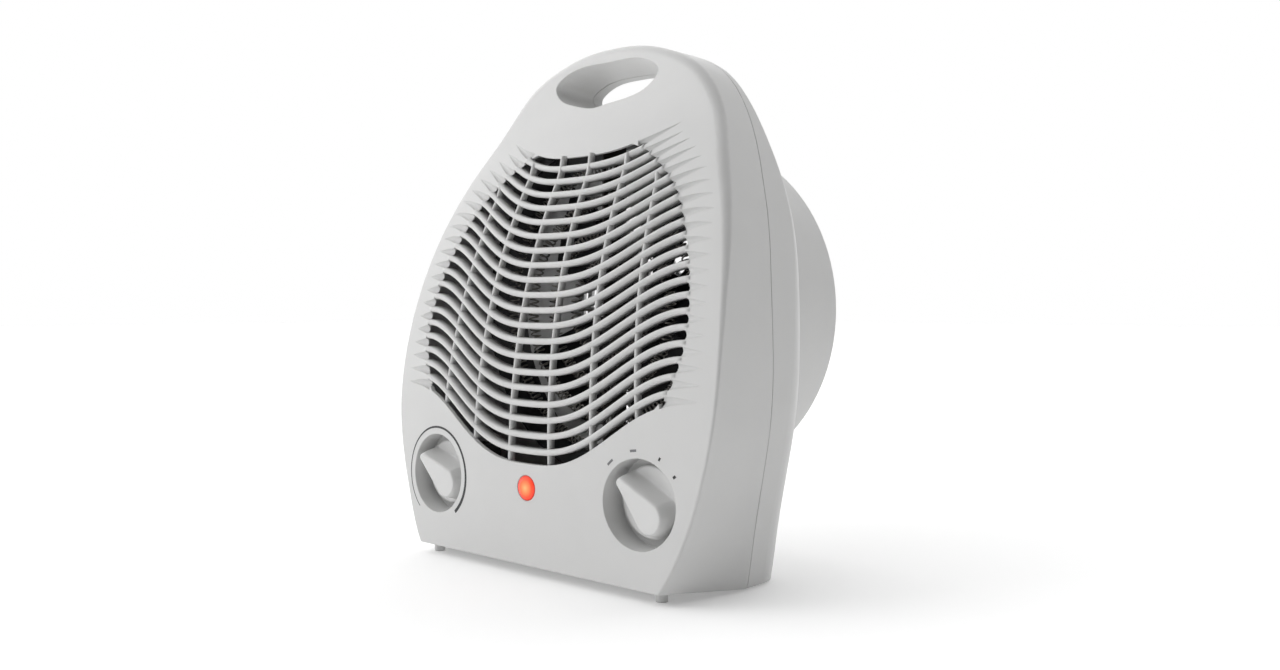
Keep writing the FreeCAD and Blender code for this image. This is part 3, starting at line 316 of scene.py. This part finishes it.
class Sweep:
    """Closed sections joined into tubes, gathered in one mesh."""

    def __init__(self):
        self.vertices = []
        self.faces = []

    def tube(self, sections, capped=True):
        start, count = len(self.vertices), len(sections[0])
        for section in sections:
            self.vertices += section
        for row in range(len(sections) - 1):
            first = start + row * count
            for index in range(count):
                following = (index + 1) % count
                self.faces.append((first + index, first + following,
                                   first + count + following, first + count + index))
        if capped:
            last = start + (len(sections) - 1) * count
            self.faces.append(tuple(range(start, start + count)))
            self.faces.append(tuple(range(last + count - 1, last - 1, -1)))


def average(values, reach):
    """Each value averaged with its neighbours, so that facets don't show."""
    smoothed = []
    for index in range(len(values)):
        near = values[max(index - reach, 0):index + reach + 1]
        smoothed.append(sum(near) / len(near))
    return smoothed


# ---------------------------------------------------------------- louvre

WAVE_RISE = 32 * MM
WAVE_REACH = 87 * MM
WAVE_FADE = 0.06
WAVE_START = 55.6 * MM
WAVE_SHARPNESS = 1.5
BAR_THICK = 3.0 * MM
BAR_DEPTH = 6 * MM
PROBE_X = 4 * MM
BAR_STATIONS = 72
NOSE_STEPS = 7
END_OVERLAP = 2.6 * MM
END_MARGIN = 0.6 * MM
SCAN_STEP = 0.1 * MM
REACH_STEP = 0.25 * MM

grille_tree = tree_of("front_grille")


def wave(x, middle):
    turn = math.pi * min(abs(x) / WAVE_REACH, 1)
    rise = WAVE_RISE - WAVE_FADE * (middle - WAVE_START)
    return rise * ((1 - math.cos(turn)) / 2) ** WAVE_SHARPNESS


def bar_middles():
    """Heights of the bars on the middle plane, read from the frame."""
    low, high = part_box("front_grille")
    height, start, found = low.z, None, []
    while height < high.z:
        depth = depth_at(grille_tree, PROBE_X, height)
        solid = depth is not None
        if solid and start is None:
            start = height
        if not solid and start is not None:
            found.append((start + height - SCAN_STEP) / 2)
            start = None
        height += SCAN_STEP
    return found


def bar_reach(middle):
    reach = PROBE_X
    while depth_at(grille_tree, reach, middle + wave(reach, middle)) is not None:
        reach += REACH_STEP
    return reach


def bar_line(middle):
    """(x, front depth, height) along a bar, a little past both of its ends."""
    reach = bar_reach(middle)
    inner = reach - END_MARGIN
    across = [(reach + END_OVERLAP) * (2 * index / BAR_STATIONS - 1)
              for index in range(BAR_STATIONS + 1)]
    depths = []
    for x in across:
        probe = max(-inner, min(inner, x))
        depth = depth_at(grille_tree, probe, middle + wave(probe, middle))
        depths.append(depth if depth is not None else depths[-1])
    slope = (depths[-4] - depths[-8]) / (across[-4] - across[-8])
    for index, x in enumerate(across):
        if abs(x) > inner:
            depths[index] += slope * (abs(x) - inner)
    depths = average(depths, 2)
    return [(x, y, middle + wave(x, middle)) for x, y in zip(across, depths)]


def bar_section(x, y, z, slope):
    """Bullnosed upright section, thicker across a steep run so that bars keep their look."""
    half = BAR_THICK / 2 * math.hypot(1, slope) ** 0.5
    nose = BAR_THICK / 2
    points = [Vector((x, y + BAR_DEPTH, z - half)), Vector((x, y + BAR_DEPTH, z + half))]
    for step in range(NOSE_STEPS + 1):
        turn = math.pi * step / NOSE_STEPS
        points.append(Vector((x, y + nose - nose * math.sin(turn), z + half * math.cos(turn))))
    return points


middles = bar_middles()
lines = [bar_line(middle) for middle in middles]
louvre = Sweep()
for line in lines:
    sections = []
    for index, (x, y, z) in enumerate(line):
        before, after = line[max(index - 1, 0)], line[min(index + 1, len(line) - 1)]
        slope = (after[2] - before[2]) / (after[0] - before[0])
        sections.append(bar_section(x, y, z, slope))
    louvre.tube(sections)


def between(x, height):
    """Depth of the face at a point of the louvre, from the bars around it."""
    below = above = None
    for line in lines:
        share = (x - line[0][0]) / (line[-1][0] - line[0][0]) * BAR_STATIONS
        index = max(0, min(BAR_STATIONS - 1, int(share)))
        mix = max(0.0, min(1.0, share - index))
        depth = line[index][1] * (1 - mix) + line[index + 1][1] * mix
        level = line[index][2] * (1 - mix) + line[index + 1][2] * mix
        if level <= height:
            below = (level, depth)
        elif above is None:
            above = (level, depth)
    if below is None or above is None:
        return (below or above)[1]
    return below[1] + (above[1] - below[1]) * (height - below[0]) / (above[0] - below[0])


RIBS = [(13.6 * MM, 9.5 * MM, 202 * MM), (39.8 * MM, 32 * MM, 200 * MM),
        (65 * MM, 53.5 * MM, 189 * MM)]
RIB_WIDTH = 1.7 * MM
RIB_BACK = 0.9 * MM
RIB_DEPTH = 3.6 * MM
RIB_STATIONS = 60
RIB_PAST_BARS = 6.4 * MM
FOOT_EDGE = middles[0] - RIB_PAST_BARS
HEAD_EDGE = middles[-1] + RIB_PAST_BARS

for foot, head, top in RIBS:
    for side in (-1, 1):
        low = FOOT_EDGE + wave(foot, FOOT_EDGE)
        high = min(HEAD_EDGE + wave(head, HEAD_EDGE), top)
        path = []
        for index in range(RIB_STATIONS + 1):
            share = index / RIB_STATIONS
            x = side * (foot + (head - foot) * share)
            height = low + (high - low) * share
            path.append((x, between(x, height), height))
        depths = average([point[1] for point in path], 3)
        sections = []
        for (x, _, height), y in zip(path, depths):
            half, front = RIB_WIDTH / 2, y + RIB_BACK
            section = [Vector((x - half, front + RIB_DEPTH, height)),
                       Vector((x + half, front + RIB_DEPTH, height))]
            for step in range(NOSE_STEPS + 1):
                turn = math.pi * step / NOSE_STEPS
                section.append(Vector((x + half * math.cos(turn),
                                       front + half - half * math.sin(turn), height)))
            sections.append(section)
        louvre.tube(sections)

louvre_piece = piece("louvre", louvre.vertices, louvre.faces, louvre_plastic, "housing")
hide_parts("front_grille")


# ---------------------------------------------------------------- slot grooves in the front cover

GROOVE_RADIUS = 2.45 * MM
GROOVE_SIDES = 12
GROOVE_STEPS = 14
EDGE_MARGIN = 8.5 * MM
GROOVE_REACH = 20 * MM
GROOVE_LEAST = 6 * MM
GROOVE_TIP = 0.12 * MM
GROOVE_FADE = 0.8
GROOVE_LIFT = 0.55
TRUSTED_SHARE = 0.3
NEAR_HEIGHT = 4 * MM
SLOT_INSIDE = 1.2 * MM

cover_tree = tree_of("front_cover")


def outline_half_width(height):
    """Half width of the front cover at a height, from its mesh."""
    best = 0
    for vertex in nodes["front_cover"].data.vertices:
        if abs(vertex.co.z - height) < NEAR_HEIGHT:
            best = max(best, vertex.co.x)
    return best


def slot_levels():
    gap = (middles[1] - middles[0]) / 2
    last = (middles[-1] - middles[-2]) / 2
    inner = [(low + high) / 2 for low, high in zip(middles, middles[1:])]
    return [middles[0] - gap] + inner + [middles[-1] + last]


def groove_path(level, reach, side):
    """Points of a slot's groove from inside the field to where it fades out on the face."""
    start = reach - SLOT_INSIDE
    edge = outline_half_width(level + wave(start, level)) - EDGE_MARGIN
    finish = min(max(edge, start + GROOVE_LEAST), start + GROOVE_REACH)
    path = []
    for step in range(GROOVE_STEPS + 1):
        share = step / GROOVE_STEPS
        x = start + (finish - start) * share
        height = level + wave(x, level)
        depth = depth_at(cover_tree, side * x, height)
        path.append((side * x, depth, height, share))
    known = [point[1] for point in path
             if point[1] is not None and point[3] > TRUSTED_SHARE]
    first = known[0]
    depths = [point[1] if point[1] is not None and point[3] > TRUSTED_SHARE else None
              for point in path]
    slope = (known[min(3, len(known) - 1)] - first) / max(min(3, len(known) - 1), 1)
    lead = depths.index(first)
    depths = [first - slope * (lead - index) if value is None else value
              for index, value in enumerate(depths)]
    return [(x, y, z, share) for (x, _, z, share), y in zip(path, depths)]


def field_reaches():
    """Half width of the louvre at each slot, from the bars on both sides of it."""
    reaches = [line[-1][0] - END_OVERLAP for line in lines]
    pairs = [(a + b) / 2 for a, b in zip(reaches, reaches[1:])]
    return [reaches[0]] + pairs + [reaches[-1]]


grooves = Sweep()
for level, reach in zip(slot_levels(), field_reaches()):
    for side in (-1, 1):
        path = groove_path(level, reach, side)
        sections = []
        for index, (x, y, z, share) in enumerate(path):
            before, after = path[max(index - 1, 0)], path[min(index + 1, len(path) - 1)]
            run = Vector(after[:3]) - Vector(before[:3])
            run.normalize()
            out = Vector((0, -1, 0))
            across = run.cross(out).normalized()
            out = across.cross(run).normalized()
            radius = GROOVE_RADIUS * (1 - share) ** GROOVE_FADE + GROOVE_TIP
            rise = GROOVE_LIFT * radius * share
            middle = Vector((x, y, z)) + out * rise
            sections.append([middle + across * radius * math.cos(turn) + out * radius * math.sin(turn)
                             for turn in (2 * math.pi * step / GROOVE_SIDES
                                          for step in range(GROOVE_SIDES))])
        grooves.tube(sections)

groove_mesh = bpy.data.meshes.new("groove_cutter")
groove_mesh.from_pydata([tuple(vertex) for vertex in grooves.vertices], [], grooves.faces)
work = bmesh.new()
work.from_mesh(groove_mesh)
bmesh.ops.recalc_face_normals(work, faces=work.faces)
work.to_mesh(groove_mesh)
work.free()
groove_mesh.materials.append(shell)
groove_cutter = bpy.data.objects.new("groove_cutter", groove_mesh)
bpy.context.scene.collection.objects.link(groove_cutter)
groove_cutter.hide_render = True
groove_cutter.hide_viewport = True
carve = nodes["front_cover"].modifiers.new("slot_grooves", "BOOLEAN")
carve.operation = "DIFFERENCE"
carve.solver = "EXACT"
carve.use_self = True
carve.object = groove_cutter

# The cut drops the CAD normals, so edges are made crisp and flat faces flat again.
CRISP_ANGLE = math.radians(24)
FLAT_WEIGHT = 60
crisp = bpy.data.node_groups.new("crisp_edges", "GeometryNodeTree")
crisp.interface.new_socket("Geometry", in_out="INPUT", socket_type="NodeSocketGeometry")
crisp.interface.new_socket("Geometry", in_out="OUTPUT", socket_type="NodeSocketGeometry")
arriving = crisp.nodes.new("NodeGroupInput")
leaving = crisp.nodes.new("NodeGroupOutput")
edge_angle = crisp.nodes.new("GeometryNodeInputMeshEdgeAngle")
sharper = crisp.nodes.new("FunctionNodeCompare")
sharper.operation = "GREATER_THAN"
sharper.inputs["B"].default_value = CRISP_ANGLE
shading = crisp.nodes.new("GeometryNodeSetShadeSmooth")
shading.domain = "EDGE"
shading.inputs["Shade Smooth"].default_value = False
crisp.links.new(edge_angle.outputs["Unsigned Angle"], sharper.inputs["A"])
crisp.links.new(arriving.outputs["Geometry"], shading.inputs["Geometry"])
crisp.links.new(sharper.outputs["Result"], shading.inputs["Selection"])
crisp.links.new(shading.outputs["Geometry"], leaving.inputs["Geometry"])
nodes["front_cover"].modifiers.new("crisp_edges", "NODES").node_group = crisp
flatten = nodes["front_cover"].modifiers.new("flat_faces", "WEIGHTED_NORMAL")
flatten.keep_sharp = True
flatten.weight = FLAT_WEIGHT


# ---------------------------------------------------------------- knobs

KNOB_RINGS = 40
KNOB_SPOKES = 144
TAIL_RADIUS = 7.4 * MM
TAIL_SET = 7.6 * MM
TIP_RADIUS = 2.2 * MM
TIP_SET = 13.2 * MM
FLANK = 3.6 * MM
RIM_ROUND = 1.1 * MM
SKIRT_HEIGHT = 3.1 * MM
RIDGE_INSET = 0.6 * MM
SCOOP_DEPTH = 1.0 * MM
SCOOP_START = 0.35
SCOOP_SPREAD = 0.6
BACK_CHAMFER = 0.4 * MM


def ridge_distance(u, v):
    """Distance outside the tapered ridge outline, whose narrow end points along +u."""
    length = TAIL_SET + TIP_SET
    share = max(0.0, min(1.0, (u + TAIL_SET) / length))
    radius = TAIL_RADIUS + (TIP_RADIUS - TAIL_RADIUS) * share
    return math.hypot(u - (-TAIL_SET + length * share), v) - radius


def smooth(share):
    share = max(0.0, min(1.0, share))
    return share * share * (3 - 2 * share)


def knob(name, node, body, degrees):
    """A round knob with a tapered finger ridge between two scooped sides."""
    low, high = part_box(node)
    axis_low, axis_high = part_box(body.split("_")[0] + "_shaft")
    centre = (axis_low + axis_high) / 2
    radius = (high.z - low.z) / 2
    front, back = low.y, high.y
    skirt = back - SKIRT_HEIGHT
    turn = math.radians(degrees)
    vertices, faces = [], []

    def level(u, v):
        away = ridge_distance(u, v)
        top = smooth(1 - (away + RIDGE_INSET) / FLANK)
        spread = math.hypot(u, v) / radius
        scoop = SCOOP_DEPTH * (1 - smooth((spread - SCOOP_START) / SCOOP_SPREAD))
        edge = max(0.0, math.hypot(u, v) - (radius - RIM_ROUND))
        rim = RIM_ROUND - math.sqrt(max(RIM_ROUND ** 2 - edge ** 2, 0))
        return skirt + scoop + (front - skirt - scoop) * top + rim

    for ring in range(KNOB_RINGS + 1):
        reach = radius * math.sin(math.pi / 2 * ring / KNOB_RINGS) if ring < KNOB_RINGS else radius
        for spoke in range(KNOB_SPOKES):
            angle = 2 * math.pi * spoke / KNOB_SPOKES
            u, v = reach * math.cos(angle), reach * math.sin(angle)
            x = centre.x + u * math.cos(turn) - v * math.sin(turn)
            z = centre.z + u * math.sin(turn) + v * math.cos(turn)
            vertices.append(Vector((x, level(u, v), z)))
    rows = KNOB_RINGS
    for spoke in range(KNOB_SPOKES):
        vertex = vertices[rows * KNOB_SPOKES + spoke]
        vertices.append(Vector((vertex.x, back - BACK_CHAMFER, vertex.z)))
    for spoke in range(KNOB_SPOKES):
        vertex = vertices[rows * KNOB_SPOKES + spoke]
        inward = Vector((centre.x - vertex.x, 0, centre.z - vertex.z)).normalized()
        inward *= BACK_CHAMFER
        vertices.append(Vector((vertex.x + inward.x, back, vertex.z + inward.z)))
    for ring in range(rows + 2):
        for spoke in range(KNOB_SPOKES):
            following = (spoke + 1) % KNOB_SPOKES
            a, b = ring * KNOB_SPOKES, (ring + 1) * KNOB_SPOKES
            if ring:
                faces.append((a + spoke, a + following, b + following, b + spoke))
            else:
                faces.append((0, b + following, b + spoke))
    last = (rows + 2) * KNOB_SPOKES
    faces.append(tuple(range(last, last + KNOB_SPOKES)))
    item = piece(name, vertices, faces, knob_plastic, body)
    tidy = bmesh.new()
    tidy.from_mesh(item.data)
    bmesh.ops.delete(tidy, geom=[v for v in tidy.verts if not v.link_faces], context="VERTS")
    tidy.to_mesh(item.data)
    tidy.free()
    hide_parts(node)
    return item


knob("thermostat_grip", "thermostat_knob", "thermostat_dial", 148)
knob("selector_grip", "selector_knob", "selector_dial", 140)


# ---------------------------------------------------------------- printed marks

INK_LIFT = 0.05 * MM
INK_THICK = 0.02 * MM
left_low, left_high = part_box("thermostat_shaft")
right_low, right_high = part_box("selector_shaft")
left_axis = (left_low + left_high) / 2
right_axis = (right_low + right_high) / 2


def on_face(x, z):
    depth = depth_at(cover_tree, x, z)
    return Vector((x, depth - INK_LIFT, z))


def arc_mark(name, axis, inner_of, outer_of, start, finish, steps, material):
    """A printed band around a knob; angles in degrees from +X towards +Z."""
    vertices, faces = [], []
    for step in range(steps + 1):
        share = step / steps
        angle = math.radians(start + (finish - start) * share)
        for radius in (inner_of(share), outer_of(share)):
            vertices.append(on_face(axis.x + radius * math.cos(angle),
                                    axis.z + radius * math.sin(angle)))
    for step in range(steps):
        first = step * 2
        faces.append((first, first + 1, first + 3, first + 2))
    count = len(vertices)
    vertices += [vertex + Vector((0, INK_THICK, 0)) for vertex in vertices]
    faces += [tuple(count + index for index in reversed(face)) for face in faces]
    edge = list(range(0, 2 * steps + 2, 2)) + list(range(2 * steps + 1, 0, -2))
    for here, there in zip(edge, edge[1:] + edge[:1]):
        faces.append((here, there, count + there, count + here))
    return piece(name, vertices, faces, material, "housing", False)


RING_RADIUS = 23.6 * MM
arc_mark("heat_scale", left_axis, lambda share: RING_RADIUS - (0.2 + 0.75 * share) * MM,
         lambda share: RING_RADIUS + (0.2 + 0.55 * share) * MM, 232, -50, 120, ink)

TICK_RADIUS = 23.4 * MM
for index, (degrees, half_spread, half_width, tone) in enumerate((
        (133, 4.6, 0.55, grey_ink), (98, 4.2, 0.55, grey_ink), (62, 1.2, 0.8, ink),
        (36, 1.5, 0.8, ink))):
    arc_mark("setting_mark_%d" % (index + 1), right_axis,
             lambda share, width=half_width: TICK_RADIUS - width * MM,
             lambda share, width=half_width: TICK_RADIUS + width * MM,
             degrees + half_spread, degrees - half_spread, 10, tone)


# ---------------------------------------------------------------- heating coils

COIL_RINGS = 4
HELIX_STEPS = 9
WIRE_RADIUS = 0.42 * MM
TURN_PITCH = 2.7 * MM

coil_low, coil_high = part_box("heating_coils")
coil_centre = (coil_low + coil_high) / 2
helix_radius = (coil_high.y - coil_low.y) / 2 - WIRE_RADIUS
outer_ring = (coil_high.z - coil_low.z) / 2 - (coil_high.y - coil_low.y) / 2
FIRST_RING = 24 * MM

helix = bpy.data.curves.new("coil_wires", "CURVE")
helix.dimensions = "3D"
helix.bevel_depth = WIRE_RADIUS
helix.bevel_resolution = 1
helix.use_fill_caps = True
for ring in range(COIL_RINGS):
    radius = FIRST_RING + (outer_ring - FIRST_RING) * ring / (COIL_RINGS - 1)
    turns = int(2 * math.pi * radius / TURN_PITCH)
    spline = helix.splines.new("POLY")
    count = turns * HELIX_STEPS
    spline.points.add(count - 1)
    spline.use_cyclic_u = True
    for index in range(count):
        along = 2 * math.pi * index / count
        turn = 2 * math.pi * index / HELIX_STEPS
        reach = radius + helix_radius * math.cos(turn)
        spline.points[index].co = (coil_centre.x + reach * math.cos(along),
                                   coil_centre.y + helix_radius * math.sin(turn),
                                   coil_centre.z + reach * math.sin(along), 1)
helix.materials.append(wire)
coil_wires = bpy.data.objects.new("coil_wires", helix)
bpy.context.scene.collection.objects.link(coil_wires)
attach(coil_wires, "housing")
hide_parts("heating_coils")


# ---------------------------------------------------------------- stage, light and camera

floor_mesh = bpy.data.meshes.new("floor")
FLOOR_REACH = 6.0
floor_mesh.from_pydata([(-FLOOR_REACH, -FLOOR_REACH, 0), (FLOOR_REACH, -FLOOR_REACH, 0),
                        (FLOOR_REACH, FLOOR_REACH, 0), (-FLOOR_REACH, FLOOR_REACH, 0)], [],
                       [(0, 1, 2, 3)])
floor = bpy.data.objects.new("floor", floor_mesh)
bpy.context.scene.collection.objects.link(floor)
floor_graph = Graph("pale_floor")
floor_graph.link(floor_graph.ramp(floor_graph.noise(3, 2), [(0.2, (0.93, 0.93, 0.93)),
                                                           (0.8, (0.95, 0.95, 0.95))]),
                 floor_graph.shader.inputs["Base Color"])
floor_graph.set(Roughness=0.9, Specular_IOR_Level=0.1, Emission_Color=(1, 1, 1, 1),
                Emission_Strength=0.16)
floor_mesh.materials.append(floor_graph.material)

SHADED_SIDE = Vector((0.88, -0.46, -0.03))
BRIGHT = 1.47
DIM = 0.0
SHADE_START = -0.2
SHADE_FULL = 0.64

world = bpy.data.worlds.new("studio")
world.use_nodes = True
sky = world.node_tree
sky_links = sky.links
direction = sky.nodes.new("ShaderNodeTexCoord").outputs["Generated"]
facing = sky.nodes.new("ShaderNodeVectorMath")
facing.operation = "DOT_PRODUCT"
facing.inputs[1].default_value = SHADED_SIDE.normalized()
sky_links.new(direction, facing.inputs[0])
amount = sky.nodes.new("ShaderNodeMapRange")
amount.interpolation_type = "SMOOTHSTEP"
amount.inputs["From Min"].default_value = SHADE_START
amount.inputs["From Max"].default_value = SHADE_FULL
amount.inputs["To Min"].default_value = BRIGHT
amount.inputs["To Max"].default_value = DIM
sky_links.new(facing.outputs["Value"], amount.inputs["Value"])
soft_sky = sky.nodes["Background"]
soft_sky.inputs["Color"].default_value = (1, 1, 1, 1)
sky_links.new(amount.outputs["Result"], soft_sky.inputs["Strength"])
backdrop = sky.nodes.new("ShaderNodeBackground")
backdrop.inputs["Color"].default_value = (1, 1, 1, 1)
backdrop.inputs["Strength"].default_value = 1.0
choice = sky.nodes.new("ShaderNodeMixShader")
seen = sky.nodes.new("ShaderNodeLightPath").outputs["Is Camera Ray"]
sky_links.new(seen, choice.inputs["Fac"])
sky_links.new(soft_sky.outputs["Background"], choice.inputs[1])
sky_links.new(backdrop.outputs["Background"], choice.inputs[2])
sky_links.new(choice.outputs["Shader"], sky.nodes["World Output"].inputs["Surface"])
bpy.context.scene.world = world
bpy.context.scene.view_settings.view_transform = "Standard"


def softbox(name, place, size, power):
    light = bpy.data.lights.new(name, "AREA")
    light.shape = "RECTANGLE"
    light.size, light.size_y = size
    light.energy = power
    item = bpy.data.objects.new(name, light)
    item.location = place
    aim = Vector((0, 0, 0.12)) - Vector(place)
    item.rotation_euler = aim.to_track_quat("-Z", "Y").to_euler()
    bpy.context.scene.collection.objects.link(item)


softbox("key_light", (-1.0, -1.2, 1.3), (0.9, 0.9), 6)

CAMERA_PLACE = Vector((0.38158, -0.41831, 0.12912))
CAMERA_AIM = Vector((-0.6591, 0.7515, -0.0291))
LENS_MM = 31.08
camera_data = bpy.data.cameras.new("camera")
camera_data.lens = LENS_MM
camera_data.sensor_width = 36
camera = bpy.data.objects.new("camera", camera_data)
camera.location = CAMERA_PLACE
camera.rotation_euler = CAMERA_AIM.to_track_quat("-Z", "Y").to_euler()
bpy.context.scene.collection.objects.link(camera)
bpy.context.scene.camera = camera
